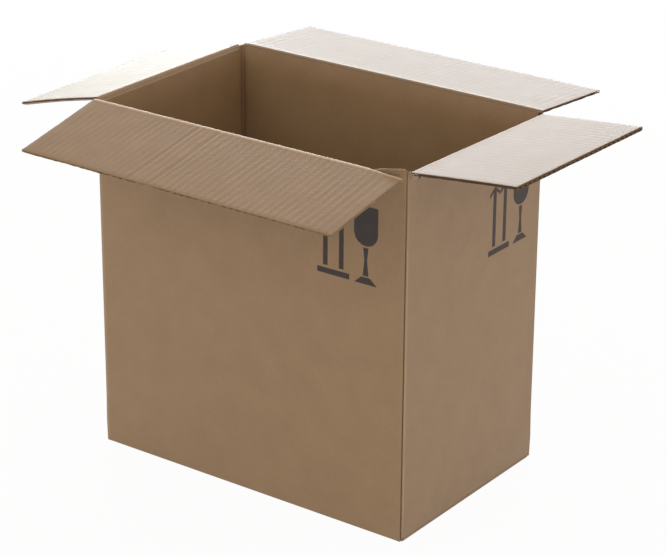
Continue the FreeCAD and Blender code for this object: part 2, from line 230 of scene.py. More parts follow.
def make_flute_group() -> bpy.types.NodeTree:
    """Make the group for the wave of the flutes, used to paint the shade of the liner's faint washboard as
    stripes.
    """
    group, place, source, result = new_group(
        "flute_washboard",
        {"Place": (0.0, 0.0, 0.0), "Across": (1.0, 0.0, 0.0), "Pitch": 0.0079},
        ("Wave",),
    )
    across = place.add("ShaderNodeVectorMath", operation="DOT_PRODUCT")
    place.join(source.outputs["Place"], across.inputs[0])
    place.join(source.outputs["Across"], across.inputs[1])
    turns = place.math("DIVIDE", across.outputs["Value"], source.outputs["Pitch"])
    wave = place.math("COSINE", place.math("MULTIPLY", turns, math.tau))
    # The third input stays at 0.5, so the wave runs from 0 to 1.
    place.join(place.math("MULTIPLY_ADD", wave, 0.5), result.inputs["Wave"])
    return group


@dataclass(frozen=True)
class Kraft:
    """Brown paper, as the face of the board or as its cut edge."""

    name: str
    pale: Colour
    deep: Colour
    across: tuple[float, float, float] = (1.0, 0.0, 0.0)
    wave_depth: float = 0.02
    roughness: tuple[float, float] = (0.42, 0.56)
    speck: Colour = (0.16, 0.10, 0.06)
    # Colours of the painted shade and darker cut edges, and of the painted highlight.
    shade: Colour = (0.085, 0.055, 0.03)
    painted_highlight: Colour = (0.80, 0.64, 0.48)
    fibre_depth: float = 0.22
    speck_depth: float = 0.35
    bump: float = 0.35
    bump_height: float = 0.08 * MM

    def make(self, groups: dict[str, bpy.types.NodeTree]) -> bpy.types.Material:
        """Make the material.

        Args:
            groups: The shared node groups by name.

        Returns:
            The finished material.
        """
        material = bpy.data.materials.new(self.name)
        material.use_nodes = True
        material.diffuse_color = (*self.pale, 1.0)
        place = NodePlace(material.node_tree)
        shader = material.node_tree.nodes["Principled BSDF"]
        where = place.add("ShaderNodeTexCoord").outputs["Object"]
        pulp = place.add("ShaderNodeGroup", node_tree=groups["pulp"])
        flutes = place.add("ShaderNodeGroup", node_tree=groups["flutes"])
        flutes.inputs["Across"].default_value = self.across
        place.join(where, pulp.inputs["Place"])
        place.join(where, flutes.inputs["Place"])
        colour = place.mix(pulp.outputs["Cloud"], self.deep, self.pale)
        fibres = place.span(pulp.outputs["Fibre"], 0.0, self.fibre_depth)
        colour = place.mix(fibres, colour, self.deep)
        specks = place.math("MULTIPLY", pulp.outputs["Speck"], self.speck_depth)
        colour = place.mix(specks, colour, self.speck)
        # Painted shade in the valleys of the flutes' washboard.
        valley = place.math("MULTIPLY", flutes.outputs["Wave"], self.wave_depth)
        colour = place.mix(valley, colour, self.deep)
        # The painted light attribute: above 0 it mixes in painted shade in creases, corners, score lines
        # and the gap under the lip, and the darker cut edges of the flaps; below 0 it mixes in a painted
        # highlight on the rolled creases and beside the folded corners.
        painted_light_and_edge_tone = place.add("ShaderNodeAttribute", attribute_name=PAINTED_LIGHT_AND_EDGE_TONE).outputs["Fac"]
        colour = place.mix(painted_light_and_edge_tone, colour, self.shade)
        colour = place.mix(place.math("MULTIPLY", painted_light_and_edge_tone, -1.0), colour, self.painted_highlight)
        place.join(colour, shader.inputs["Base Color"])
        place.join(place.span(pulp.outputs["Fibre"], *self.roughness), shader.inputs["Roughness"])
        relief = place.math("ADD", pulp.outputs["Fibre"], pulp.outputs["Cloud"])
        bump = place.add("ShaderNodeBump")
        bump.inputs["Strength"].default_value = self.bump
        bump.inputs["Distance"].default_value = self.bump_height
        place.join(relief, bump.inputs["Height"])
        place.join(bump.outputs["Normal"], shader.inputs["Normal"])
        return material


@dataclass(frozen=True)
class PrintInk:
    """Dark flexographic ink that lets a little of the paper show through."""

    name: str = "printed_ink"
    solid: Colour = (0.024, 0.016, 0.014)
    thin: Colour = (0.060, 0.039, 0.030)
    patch_size: float = 0.008
    roughness: tuple[float, float] = (0.45, 0.65)

    def make(self, groups: dict[str, bpy.types.NodeTree]) -> bpy.types.Material:
        """Make the material.

        Args:
            groups: The shared node groups by name.

        Returns:
            The finished material.
        """
        material = bpy.data.materials.new(self.name)
        material.use_nodes = True
        material.diffuse_color = (*self.solid, 1.0)
        place = NodePlace(material.node_tree)
        shader = material.node_tree.nodes["Principled BSDF"]
        where = place.add("ShaderNodeTexCoord").outputs["Object"]
        pulp = place.add("ShaderNodeGroup", node_tree=groups["pulp"])
        pulp.inputs["Patch Size"].default_value = self.patch_size
        place.join(where, pulp.inputs["Place"])
        worn = place.math("POWER", pulp.outputs["Cloud"], 2.0)
        place.join(place.mix(worn, self.solid, self.thin), shader.inputs["Base Color"])
        place.join(place.span(pulp.outputs["Fibre"], *self.roughness), shader.inputs["Roughness"])
        return material


# The board and its creases


@dataclass(frozen=True)
class Board:
    """The corrugated board: its plies and its flutes, which end a recess inside the free edge."""

    thickness: float = 4.0 * MM
    liner: float = 0.4 * MM
    medium: float = 0.3 * MM
    pitch: float = 7.9 * MM
    crease_radius: float = 0.74 * MM
    recess: float = 0.3 * MM

    def wave_steps(self, width: float) -> int:
        """Return the number of mesh steps that draw the flutes over a width."""
        return round(width / self.pitch * 10.0)


@dataclass(frozen=True)
class Hinge:
    """A crease with a flap on it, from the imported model's joint."""

    pivot: Vector
    outward: Vector
    tilt: float

    @classmethod
    def from_joint(cls, name: str) -> "Hinge":
        """Read a crease from the frame.

        At its lowest limit a flap lies level over the opening, which gives its tilt at rest.

        Args:
            name: The joint's name.

        Returns:
            The hinge, with the tilt over level that the flap has at rest.
        """
        joint = next(j for j in frame["joints"] if j["name"] == name)
        pivot = Vector(joint["pos_m"])
        tilt = math.radians(180.0 + joint["range_deg"][0])
        return cls(pivot, Vector((pivot.x, pivot.y, 0.0)).normalized(), tilt)

    @property
    def along(self) -> Vector:
        """Return the direction along the crease."""
        return UP.cross(self.outward)

    def place(self, across: float, reach: float, height: float) -> Vector:
        """Return the world place of a point that is given on the flap.

        Args:
            across: The place along the crease.
            reach: The distance out from the crease.
            height: The height over the flap's outer face.

        Returns:
            The point in metres.
        """
        out = self.outward * math.cos(self.tilt) + UP * math.sin(self.tilt)
        rise = UP * math.cos(self.tilt) - self.outward * math.sin(self.tilt)
        return self.pivot + self.along * across + out * reach + rise * height


@dataclass
class Ply:
    """One sheet of paper in a board, cut flat from a grid and then bent into place."""

    across: list[float]
    along: list[float]
    paper: float
    bend: Callable[[float, float, float], Vector]
    keep: Callable[[float, float], bool] = lambda across, along: True
    shade: Callable[[float, float], float] = lambda across, along: 0.0

    def cut(self, mesh: bmesh.types.BMesh) -> None:
        """Cut the sheet and bend it.

        Args:
            mesh: The mesh that takes the sheet as one more closed shell.
        """
        sheet = bmesh.new()
        columns, rows = len(self.across) - 1, len(self.along) - 1
        bmesh.ops.create_grid(sheet, x_segments=columns, y_segments=rows, size=1.0)
        for vertex in sheet.verts:
            column = round((vertex.co.x + 1.0) / 2.0 * columns)
            row = round((vertex.co.y + 1.0) / 2.0 * rows)
            vertex.co = (self.across[column], self.along[row], 0.0)
        waste = [f for f in sheet.faces if not self.keep(*f.calc_center_median().xy)]
        bmesh.ops.delete(sheet, geom=waste, context="FACES")
        grown = bmesh.ops.extrude_face_region(sheet, geom=sheet.faces[:])
        raised = [item for item in grown["geom"] if isinstance(item, bmesh.types.BMVert)]
        bmesh.ops.translate(sheet, verts=raised, vec=(0.0, 0.0, 1.0))
        bmesh.ops.recalc_face_normals(sheet, faces=sheet.faces)
        for face in sheet.faces:
            face.smooth = abs(face.normal.z) > 0.5
            face.material_index = (Paper.FACE if face.smooth else Paper.CUT).value
        # The painted shade, painted highlight and edge tone that the material mixes into the paper.
        painted_light_and_edge_tone = sheet.verts.layers.float.new(PAINTED_LIGHT_AND_EDGE_TONE)
        for vertex in sheet.verts:
            height = (vertex.co.z - 0.5) * self.paper
            vertex[painted_light_and_edge_tone] = self.shade(vertex.co.x, vertex.co.y)
            vertex.co = self.bend(vertex.co.x, vertex.co.y, height)
        bmesh.ops.recalc_face_normals(sheet, faces=sheet.faces)
        add_mesh(mesh, sheet)


def add_mesh(mesh: bmesh.types.BMesh, part: bmesh.types.BMesh) -> None:
    """Move a finished part into a larger mesh and free the part."""
    carrier = bpy.data.meshes.new("carrier")
    part.to_mesh(carrier)
    part.free()
    mesh.from_mesh(carrier)
    bpy.data.meshes.remove(carrier)


def finish_piece(
    name: str, mesh: bmesh.types.BMesh, papers: Iterable[bpy.types.Material], body: str
) -> bpy.types.Object:
    """Turn a mesh into a finished piece on a body.

    Args:
        name: The piece's name.
        mesh: Its mesh, in world metres, which is freed.
        papers: Its materials in the order of Paper.
        body: The body that carries it.

    Returns:
        The new object.
    """
    data = bpy.data.meshes.new(name)
    mesh.to_mesh(data)
    mesh.free()
    for paper in papers:
        data.materials.append(paper)
    piece = bpy.data.objects.new(name, data)
    bpy.context.scene.collection.objects.link(piece)
    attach(piece, body)
    log.info("%s: %d faces on %s", name, len(data.polygons), body)
    return piece


@dataclass(frozen=True)
class Corners:
    """Four values at the corners of a flap, blended evenly between them."""

    root_start: float = 0.0
    root_end: float = 0.0
    free_start: float = 0.0
    free_end: float = 0.0

    def at(self, share_across: float, share_out: float) -> float:
        """Return the value at a share of the way across and out."""
        root = self.root_start + (self.root_end - self.root_start) * share_across
        free = self.free_start + (self.free_end - self.free_start) * share_across
        return root + (free - root) * share_out


@dataclass
class TopFlap:
    """A flap at the mouth of the box, rolled over its crease.

    Lift and ends say how far its corners stand up and how far its side edges are shifted there. The roll
    over the crease reaches out to the shoulder, with a low bead beside it. Edge darkness, highlight
    strength and root shade are how dark its cut edges are, how bright the painted highlight along the edge
    of the roll is and how dark the painted shade in the crease is. Where the root is open, the flap has
    come off its crease.
    """

    name: str
    joint: str
    body: str
    half_length: float
    reach: float
    lift: Corners = field(default_factory=Corners)
    ends: Corners = field(default_factory=Corners)
    bow: float = 0.0
    side_crush: float = 1.5 * MM
    free_crush: float = 1.2 * MM
    most_crush: float = 2.8 * MM
    pressed: tuple[float, ...] = ()
    open_root: Callable[[float], bool] = lambda across: False
    swelling: Callable[[float, float], float] = lambda across, reach: 0.0
    dent: Callable[[float, float], float] = lambda across, reach: 0.0
    board: Board = field(default_factory=Board)
    shoulder: float = 4.0 * MM
    bead: float = 0.3 * MM
    # How dark the cut edges are, then the painted highlight along the roll's edge and the painted shade in
    # the crease.
    edge_darkness: float = 0.55
    start_edge_darkness: float = 0.55
    highlight_strength: float = 0.5
    root_shade: float = 0.0
    flute_depth: float = 1.0
    column_step: float = 1.6 * MM

    def __post_init__(self) -> None:
        """Read the crease from the frame."""
        self.hinge = Hinge.from_joint(self.joint)

    def raised(self, across: float, reach: float) -> float:
        """Return how far the whole board stands over its plain place."""
        share_across = (across / self.half_length + 1.0) / 2.0
        share_out = min(1.0, max(0.0, reach / self.reach))
        bow = self.bow * math.sin(math.pi * share_out)
        return self.lift.at(share_across, share_out) + bow + self.dent(across, reach)

    def washboard(self, across: float, reach: float) -> float:
        """Return how far the liner sinks between two flutes, with patches of a few square centimetres."""
        patch = noise.noise(Vector((across / 21.0, reach / 13.0, self.half_length)) / MM)
        drift = noise.noise(Vector((across / 34.0, reach / 47.0, 5.0 + self.half_length)) / MM)
        depth = self.flute_depth * (0.085 + 0.10 * patch) * MM
        return depth * math.cos(math.tau * across / self.board.pitch + 1.6 * drift)

    def thinning(self, across: float, reach: float) -> float:
        """Return how much thinner the board is where the knives crushed its cut edges."""
        side_band, free_band, patch = 5.0 * MM, 4.0 * MM, 9.0 * MM
        side = self.side_crush * smooth((abs(across) - self.half_length + side_band) / side_band)
        free = self.free_crush * smooth((reach - self.reach + free_band) / free_band)
        uneven = 0.9 + 0.35 * noise.noise(Vector((across, reach, 0.0)) / patch)
        return min(self.most_crush, max(side, free) * uneven)

    def groove(self, across: float) -> float:
        """Return the depth of the pressed lines at a place across the flap."""
        depth, width = 0.26 * MM, 1.5 * MM
        return sum(depth * hump(across - line, width) for line in self.pressed)

    def worn(self, across: float, reach: float) -> float:
        """Return how dark the paper is along its cut edges and with the painted shade in the crease, or
        below 0 the painted highlight along the roll.
        """
        band = 0.9 * MM
        side = hump(self.half_length - abs(across), band)
        side *= self.start_edge_darkness if across < 0.0 else self.edge_darkness
        free = self.edge_darkness * hump(self.reach - reach, band)
        # Painted shade in the crease, and a painted highlight along the roll's edge.
        root = self.root_shade * smooth((0.9 * self.shoulder - reach) / (0.5 * self.shoulder))
        painted_highlight = self.highlight_strength * hump(reach - 1.15 * self.shoulder, 0.45 * self.shoulder)
        return max(side, free, root) - painted_highlight

    def clearance(self, across: float, reach: float) -> float:
        """Return how far the outer liner is pressed in, so that a drooping flap clears the wall."""
        allowed_droop = 0.12 * reach
        return max(0.0, -self.raised(across, reach) - allowed_droop)

    def spot(self, across: float, reach: float) -> float:
        """Return a place across the flap once its ends are cut to shape."""
        fray_depth, fray_steps = 0.45 * MM, 26.0
        share_across = (across / self.half_length + 1.0) / 2.0
        share_out = min(1.0, max(0.0, reach / self.reach))
        edge = abs(across) / self.half_length
        trim = self.ends.at(share_across, share_out) * edge ** 6
        fray = fray_depth * noise.noise(Vector((share_across, share_out * fray_steps, 3.0))) * edge ** 20
        grown = fray + self.swelling(across, reach) * edge ** 12
        return across + trim + (grown if across > 0.0 else -grown)

    def section(self, across: float, along: float, side: float) -> tuple[float, float]:
        """Return a liner's middle line in the flap's cross section.

        Args:
            across: The place along the crease.
            along: The length of paper from the root.
            side: 1 for the inner liner, which faces up on an open box, and -1 for the outer one.

        Returns:
            The reach and the height of the line.
        """
        radius = self.board.crease_radius - self.board.liner / 2.0
        arc = radius * math.pi / 2.0
        if along < arc:
            angle = math.pi - along / radius
            return radius * math.cos(angle), side * radius * math.sin(angle)
        reach = along - arc
        base = self.raised(across, reach)
        thinner = self.thinning(across, reach)
        wave = self.washboard(across, reach)
        if side > 0.0:
            full = base + self.board.thickness - self.board.liner / 2.0 - 0.15 * thinner
            full += self.bead * hump(reach - 1.2 * self.shoulder, 2.2 * MM) - wave - self.groove(across)
            turn = math.pi / 2.0 * min(1.0, reach / self.shoulder)
            return reach, radius + (full - radius) * math.sin(turn)
        full = base + self.board.liner / 2.0 - wave + max(0.85 * thinner, self.clearance(across, reach))
        return reach, -radius + (full + radius) * smooth(reach / (1.3 * self.shoulder))

    def liner(self, side: float) -> Callable[[float, float, float], Vector]:
        """Return the function that bends one liner into place."""
        step = 0.05 * MM

        def bend(across: float, along: float, height: float) -> Vector:
            """Bend one point of the liner."""
            reach, rise = self.section(across, along, side)
            ahead = self.section(across, along + step, side)
            slope = Vector((ahead[0] - reach, ahead[1] - rise)).normalized()
            reach, rise = reach - slope.y * height, rise + slope.x * height
            return self.hinge.place(self.spot(across, reach), reach, rise)

        return bend

    def flute(self, across: float, along: float, height: float) -> Vector:
        """Bend one point of the fluted paper."""
        thinner = self.thinning(across, along)
        pressed = self.clearance(across, along)
        room = self.board.thickness - 2.0 * self.board.liner - self.board.medium - max(thinner, pressed)
        swing = 0.5 * (room - self.groove(across)) * smooth((along - 2.0 * MM) / (6.0 * MM))
        middle = self.raised(across, along) + self.board.thickness / 2.0 - self.groove(across) / 2.0
        middle += max(0.35 * thinner, 0.5 * pressed)
        rise = middle + swing * math.cos(math.tau * across / self.board.pitch) + height
        return self.hinge.place(self.spot(across, along), along, rise)

    def build(self, papers: Iterable[bpy.types.Material], node: str) -> bpy.types.Object:
        """Build the flap from its three plies.

        Args:
            papers: The materials of the face and the cut edge.
            node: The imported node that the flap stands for.

        Returns:
            The finished piece.
        """
        mesh = bmesh.new()
        half = self.half_length
        columns = spread((-half, half, round(2.0 * half / self.column_step)))
        arc = (self.board.crease_radius - self.board.liner / 2.0) * math.pi / 2.0
        root = 2.0 * self.shoulder
        last = arc + self.reach
        edge, tear = last - 6.0 * MM, self.shoulder + 0.6 * MM
        rows = spread((0.0, arc, 3), (arc, arc + root, 14), (arc + root, edge, 20), (edge, last, 4))

        def keep(across: float, along: float) -> bool:
            """Say whether the paper is still there at a place."""
            return not (self.open_root(across) and along - arc < tear)

        def shade(across: float, along: float) -> float:
            """Return how dark the liner is at a place, painted shade included, or below 0 its painted
            highlight.
            """
            return self.worn(across, along - arc)

        for side in (1.0, -1.0):
            Ply(columns, rows, self.board.liner, self.liner(side), keep, shade).cut(mesh)
        waves = spread((-half, half, self.board.wave_steps(2.0 * half)))
        inner = spread((self.shoulder + 2.5 * MM, self.reach - self.board.recess, 14))
        Ply(waves, inner, self.board.medium, self.flute).cut(mesh)
        piece = finish_piece(self.name, mesh, papers, self.body)
        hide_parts(node)
        return piece


@dataclass
class FlatBoard:
    """A plain piece of three-ply board: a bottom flap or the glued tab."""

    name: str
    origin: Vector
    across: Vector
    along: Vector
    start: Callable[[float], float]
    end: Callable[[float], float]
    rows: list[float]
    board: Board = field(default_factory=Board)

    @property
    def rise(self) -> Vector:
        """Return the direction through the board."""
        return self.across.cross(self.along)

    def reach(self, share: float, along: float) -> float:
        """Return the place across the board at a share of the way from edge to edge."""
        first, last = self.start(along), self.end(along)
        return first + (last - first) * share

    def sheet(self, middle: float) -> Callable[[float, float, float], Vector]:
        """Return the function that puts one liner at a height through the board."""

        def bend(share: float, along: float, height: float) -> Vector:
            """Place one point of the liner."""
            flat = self.across * self.reach(share, along) + self.along * along
            return self.origin + flat + self.rise * (middle + height)

        return bend

    def flute(self, share: float, along: float, height: float) -> Vector:
        """Place one point of the fluted paper."""
        swing = 0.5 * (self.board.thickness - 2.0 * self.board.liner - self.board.medium)
        wave = math.cos(math.tau * self.reach(share, along) / self.board.pitch)
        return self.sheet(self.board.thickness / 2.0 + swing * wave)(share, along, height)

    def build(self, papers: Iterable[bpy.types.Material]) -> bpy.types.Object:
        """Build the board from its three plies and put it on the box."""
        mesh = bmesh.new()
        width = max(self.end(along) - self.start(along) for along in self.rows)
        thick, liner = self.board.thickness, self.board.liner
        for middle in (liner / 2.0, thick - liner / 2.0):
            Ply(spread((0.0, 1.0, 12)), self.rows, liner, self.sheet(middle)).cut(mesh)
        waves = spread((0.002, 0.998, self.board.wave_steps(width)))
        inner = self.rows[:-1] + [self.rows[-1] - self.board.recess]
        Ply(waves, inner, self.board.medium, self.flute).cut(mesh)
        return finish_piece(self.name, mesh, papers, "box")


# The walls


@dataclass(frozen=True)
class CrumpledLip:
    """The lip of board that stands up at the near corner and runs out along both walls."""

    front_step: float = 3.0 * MM
    front_end: float = 38.0 * MM
    front_fall: float = 8.0 * MM
    slope_height: float = 5.6 * MM
    slope_end: float = 31.0 * MM
    slope_length: float = 27.0 * MM
    side_height: float = 8.4 * MM
    side_slope: float = 0.12
    side_end: float = 18.0 * MM
    side_fall: float = 2.5 * MM
    lean: float = 2.8 * MM
    # The painted shade in the gap below the lip's front.
    gap_shade: float = 0.45

    def over_front(self, distance: float) -> float:
        """Return its height over the front wall at a distance from the corner."""
        step = self.front_step * smooth((self.front_end - distance) / self.front_fall)
        share = (self.slope_end - distance) / self.slope_length
        return step + self.slope_height * min(1.0, max(0.0, share))

    def over_side(self, distance: float) -> float:
        """Return its height over the right wall at a distance from the corner."""
        slope = self.side_height - self.side_slope * distance
        return slope * smooth((self.side_end - distance) / self.side_fall)


@dataclass(frozen=True)
class Station:
    """One upright strip of the walls, from foot to crest.

    Its ear is the part of the crest that belongs to the crumpled lip. Score and nook are the painted shade
    on its outer and inner faces, at the score lines and in the inside corners; below 0 the score is a
    painted highlight.
    """

    outer: Vector
    inner: Vector
    crest: float
    foot: float
    ear: float
    score: float = 0.0
    nook: float = 0.0
    sharp: bool = False
    raw: bool = False


@dataclass
class Walls:
    """The four walls, folded from one piece, with the score lines at their corners and one glued joint.

    Major and minor are the heights of the long and the short walls' creases, post that of the corners.
    The outer face swells out to the crease over the height of the rim, and the inner face slopes out to it
    over the taper.
    """

    half_length: float
    half_width: float
    major: float
    minor: float
    board: Board = field(default_factory=Board)
    lip: CrumpledLip = field(default_factory=CrumpledLip)
    fold: float = 2.0 * MM
    inner_fold: float = 1.0 * MM
    bottom_fold: float = 1.2 * MM
    post: float = 361.6 * MM
    rim: float = 7.0 * MM
    tip_gap: float = 0.04 * MM
    taper: float = 26.0 * MM
    bulge: float = 0.6 * MM
    pinch: float = 1.3 * MM
    ridge: float = 0.35 * MM
    # Painted shade on the corner's score line and in the inside corners, and a painted highlight beside the
    # folded corners.
    score_shade: float = 0.75
    nook_shade: float = 0.28
    highlight_strength: float = 0.3
    joint_recess: float = 1.0 * MM
    joint_groove: float = 2.2 * MM

    def crest(self, x: float, y: float) -> float:
        """Return the height of the walls' top at a place in plan."""
        from_end_x = self.half_length - abs(x)
        from_end_y = self.half_width - abs(y)
        if from_end_y < 0.6 * MM or from_end_y < from_end_x:
            base = self.post + (self.major - self.post) * smooth((from_end_x - 1.0 * MM) / (1.5 * MM))
        else:
            base = self.post + (self.minor - self.post) * smooth((from_end_y - 4.2 * MM) / (0.8 * MM))
        return base + self.ear(x, y)

    def ear(self, x: float, y: float) -> float:
        """Return how far the crumpled lip stands up at a place in plan."""
        if x < 0.0 or y > 0.0:
            return 0.0
        from_end_x = self.half_length - x
        from_end_y = self.half_width + y
        if from_end_y < from_end_x:
            return self.lip.over_front(from_end_x)
        return self.lip.over_side(from_end_y)

    def stations(self) -> list[Station]:
        """Return the strips in order round the box, with the first again at the end."""
        corner_zone, plain_step = 16.0 * MM, 4.0 * MM
        long_nook, short_nook, highlight_width = 0.9 * MM, 2.4 * MM, 1.6 * MM
        strips = []
        length, width = self.half_length, self.half_width
        sides = (
            (Vector((1, 0, 0)), Vector((0, -1, 0)), length, width),
            (Vector((0, 1, 0)), Vector((1, 0, 0)), width, length),
            (Vector((-1, 0, 0)), Vector((0, 1, 0)), length, width),
            (Vector((0, -1, 0)), Vector((-1, 0, 0)), width, length),
        )
        for run, out, half, depth in sides:
            straight = half - self.fold
            near = 1.0 - corner_zone / straight
            steps = spread((-1.0, -near, 12), (-near, near, round(half / plain_step)), (near, 1.0, 12))
            inner_half = half - self.board.thickness - self.inner_fold
            joint = self.half_length - self.board.thickness - self.joint_groove
            for share in steps[:-1]:
                outer = run * (straight * share) + out * depth
                if out.y > 0.0 and outer.x > joint - 0.5 * MM:
                    continue
                away = inner_half * (1.0 - abs(share))
                inner = run * (inner_half * share) + out * (depth - self.board.thickness + self.swell(away))
                # Painted shade in the inside corner, and a painted highlight beside the corner at the
                # wall's start.
                nook = self.nook_shade * hump(away, short_nook if abs(run.y) > 0.5 else long_nook)
                painted_highlight = -self.highlight_strength * hump(straight * (1.0 + share), highlight_width)
                strips.append(self.strip(outer, inner, painted_highlight, nook))
            strips += self.glued_corner() if run.y > 0.0 else self.folded_corner(run, out, half, depth)
        return strips + strips[:1]

    def folded_corner(self, run: Vector, out: Vector, half: float, depth: float) -> list[Station]:
        """Return the strips round a folded corner, with the pressed score line on its ridge.

        Args:
            run: The direction along the wall that comes before the corner.
            out: That wall's outward direction.
            half: Half the length of the wall.
            depth: The distance of the wall from the middle of the box.

        Returns:
            The strips in order.
        """
        strips = []
        centre = run * (half - self.fold) + out * (depth - self.fold)
        turn_point = self.board.thickness + self.inner_fold
        inner_centre = run * (half - turn_point) + out * (depth - turn_point)
        turns = 16
        for turn in range(turns):
            angle = math.pi / 2.0 * turn / turns
            ray = out * math.cos(angle) + run * math.sin(angle)
            pinch = self.pinch * hump(angle - math.pi / 4.0, 0.36)
            ridge = self.ridge * (hump(angle - 0.05, 0.3) + hump(angle - 1.52, 0.3))
            outer = centre + ray * (self.fold - pinch + ridge)
            inner = inner_centre + ray * (self.inner_fold + self.swell(0.0))
            # Painted shade in the pressed score, and a painted highlight on the ridge beyond it.
            painted_highlight = self.highlight_strength * smooth((angle - 1.15) / 0.3)
            score = self.score_shade * hump(angle - math.pi / 4.0, 0.28) - painted_highlight
            strips.append(self.strip(outer, inner, score, self.nook_shade))
        return strips

    def glued_corner(self) -> list[Station]:
        """Return the strips of the joint, where the right wall's raw edge stands beside the folded tab."""
        right, back = self.half_length, self.half_width
        inside, groove = right - self.board.thickness, self.joint_groove
        nook = Vector((inside - self.inner_fold, back - self.board.thickness - self.inner_fold, 0.0))
        # Each step: the outer place, the angle round the nook, the painted shade in the joint's groove and
        # whether it begins the raw edge.
        path = (
            (Vector((right, back - self.joint_recess, 0.0)), 0.05, 0.0, True),
            (Vector((inside, back - self.joint_recess, 0.0)), 0.5, 0.0, False),
            (Vector((inside, back - groove, 0.0)), 0.8, 0.7, False),
            (Vector((inside - groove, back, 0.0)), 1.5, 0.0, False),
        )
        strips = []
        for outer, angle, score, raw in path:
            inner = nook + Vector((math.cos(angle), math.sin(angle), 0.0)) * self.inner_fold
            strip = self.strip(outer, inner, score, self.nook_shade)
            strips.append(replace(strip, sharp=True, raw=raw))
        return strips

    def swell(self, distance: float) -> float:
        """Return how far the inner face lies back at a distance from an inside corner's score."""
        return 0.8 * MM * hump(distance, 1.8 * MM) - 0.2 * MM * hump(distance - 6.0 * MM, 3.5 * MM)

    def strip(self, outer: Vector, inner: Vector, score: float = 0.0, nook: float = 0.0) -> Station:
        """Return the strip at a place on the outer and inner faces.

        Args:
            outer: The place on the outer face.
            inner: The place on the inner face.
            score: The painted shade on the outer face there, and below 0 its painted highlight.
            nook: The painted shade on the inner face there.

        Returns:
            The strip, with its height worked out.
        """
        x, y = outer.x, outer.y
        from_end = self.half_width - abs(y)
        foot = smooth((from_end - 1.0 * MM) / (2.5 * MM)) * self.board.thickness
        return Station(outer, inner, self.crest(x, y), foot, self.ear(x, y), score, nook)

    def section(self, strip: Station) -> list[tuple[float, float, float]]:
        """Return a strip's closed cross section.

        Args:
            strip: The strip.

        Returns:
            Each point's share of the way from the outer to the inner face, its height and its painted
            shade, which below 0 is a painted highlight.
        """
        thick = self.board.thickness
        foot, top = strip.foot, strip.crest
        tip = self.board.crease_radius - self.tip_gap
        taper = self.taper + strip.ear
        radius = self.bottom_fold * (1.0 - 0.7 * foot / thick)
        # The third value of a point is its painted shade, and below 0 its painted highlight.
        points = [(1.0, foot, 0.0)]
        for step in range(5):
            angle = math.pi / 2.0 * step / 4.0
            depth = radius * (1.0 - math.sin(angle))
            points.append((depth / thick, foot + radius * (1.0 - math.cos(angle)), 0.5 * strip.score))
        for height in spread((foot + radius, top - self.rim, 16))[1:]:
            bulge = self.bulge * hump(height - 6.0 * MM, 26.0 * MM)
            # The score's painted shade grows weaker towards the crest.
            fade = 0.4 + 0.6 * smooth((top - height - 30.0 * MM) / (80.0 * MM))
            points.append((-bulge / thick, height, strip.score * fade))
        front_ear = strip.ear * (abs(strip.outer.y) > self.half_width - 0.5 * MM)
        lean = self.lip.lean * smooth((strip.ear - front_ear - 2.0 * MM) / (5.0 * MM))
        # Painted shade in the gap below the front of the crumpled lip.
        gap_shade = self.lip.gap_shade * smooth((front_ear - 0.5 * MM) / (2.0 * MM))
        for step in range(1, 4):
            height = top - self.rim * (1.0 - step / 4.0)
            gap = gap_shade * (height < top - strip.ear + 2.6 * MM)
            depth = -smooth(step / 4.0) * tip - lean * smooth(step / 4.0)
            points.append((depth / thick, height, max(0.4 * strip.score, gap)))
        for step in range(7):
            angle = math.pi * (1.0 - step / 6.0)
            points.append(((math.cos(angle) * tip - lean) / thick, top + math.sin(angle) * tip, 0.0))
        for step in range(1, 9):
            share = 1.0 - (1.0 - step / 8.0) ** 2
            depth = tip + (thick - tip) * share - lean * (1.0 - smooth(2.5 * step / 8.0))
            points.append((depth / thick, top - taper * step / 8.0, share * strip.nook))
        for height in spread((top - taper, foot, 14))[1:-1]:
            points.append((1.0, height, strip.nook))
        return points + points[:1]

    def build(self, papers: Iterable[bpy.types.Material]) -> bpy.types.Object:
        """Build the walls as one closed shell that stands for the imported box."""
        strips = self.stations()
        sections = [self.section(strip) for strip in strips]
        mesh = bmesh.new()
        columns, rows = len(strips) - 1, len(sections[0]) - 1
        bmesh.ops.create_grid(mesh, x_segments=columns, y_segments=rows, size=1.0)
        # The painted shade and painted highlight of every point.
        painted_light_and_edge_tone = mesh.verts.layers.float.new(PAINTED_LIGHT_AND_EDGE_TONE)
        for edge in mesh.edges:
            ends = {round((vertex.co.x + 1.0) / 2.0 * columns) for vertex in edge.verts}
            edge.smooth = len(ends) > 1 or not strips[ends.pop()].sharp
        for face in mesh.faces:
            middle = face.calc_center_median()
            column = int((middle.x + 1.0) / 2.0 * columns)
            row = int((middle.y + 1.0) / 2.0 * rows)
            raw = strips[column].raw and sections[column][row][0] < 0.5
            face.material_index = (Paper.CUT if raw else Paper.FACE).value
            face.smooth = True
        for vertex in mesh.verts:
            column = round((vertex.co.x + 1.0) / 2.0 * columns)
            row = round((vertex.co.y + 1.0) / 2.0 * rows)
            share, height, vertex[painted_light_and_edge_tone] = sections[column][row]
            plan = strips[column].outer.lerp(strips[column].inner, share)
            vertex.co = (plan.x, plan.y, height)
        bmesh.ops.remove_doubles(mesh, verts=mesh.verts, dist=0.01 * MM)
        bmesh.ops.recalc_face_normals(mesh, faces=mesh.faces)
        piece = finish_piece("box_walls", mesh, papers, "box")
        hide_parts("box_body")
        return piece


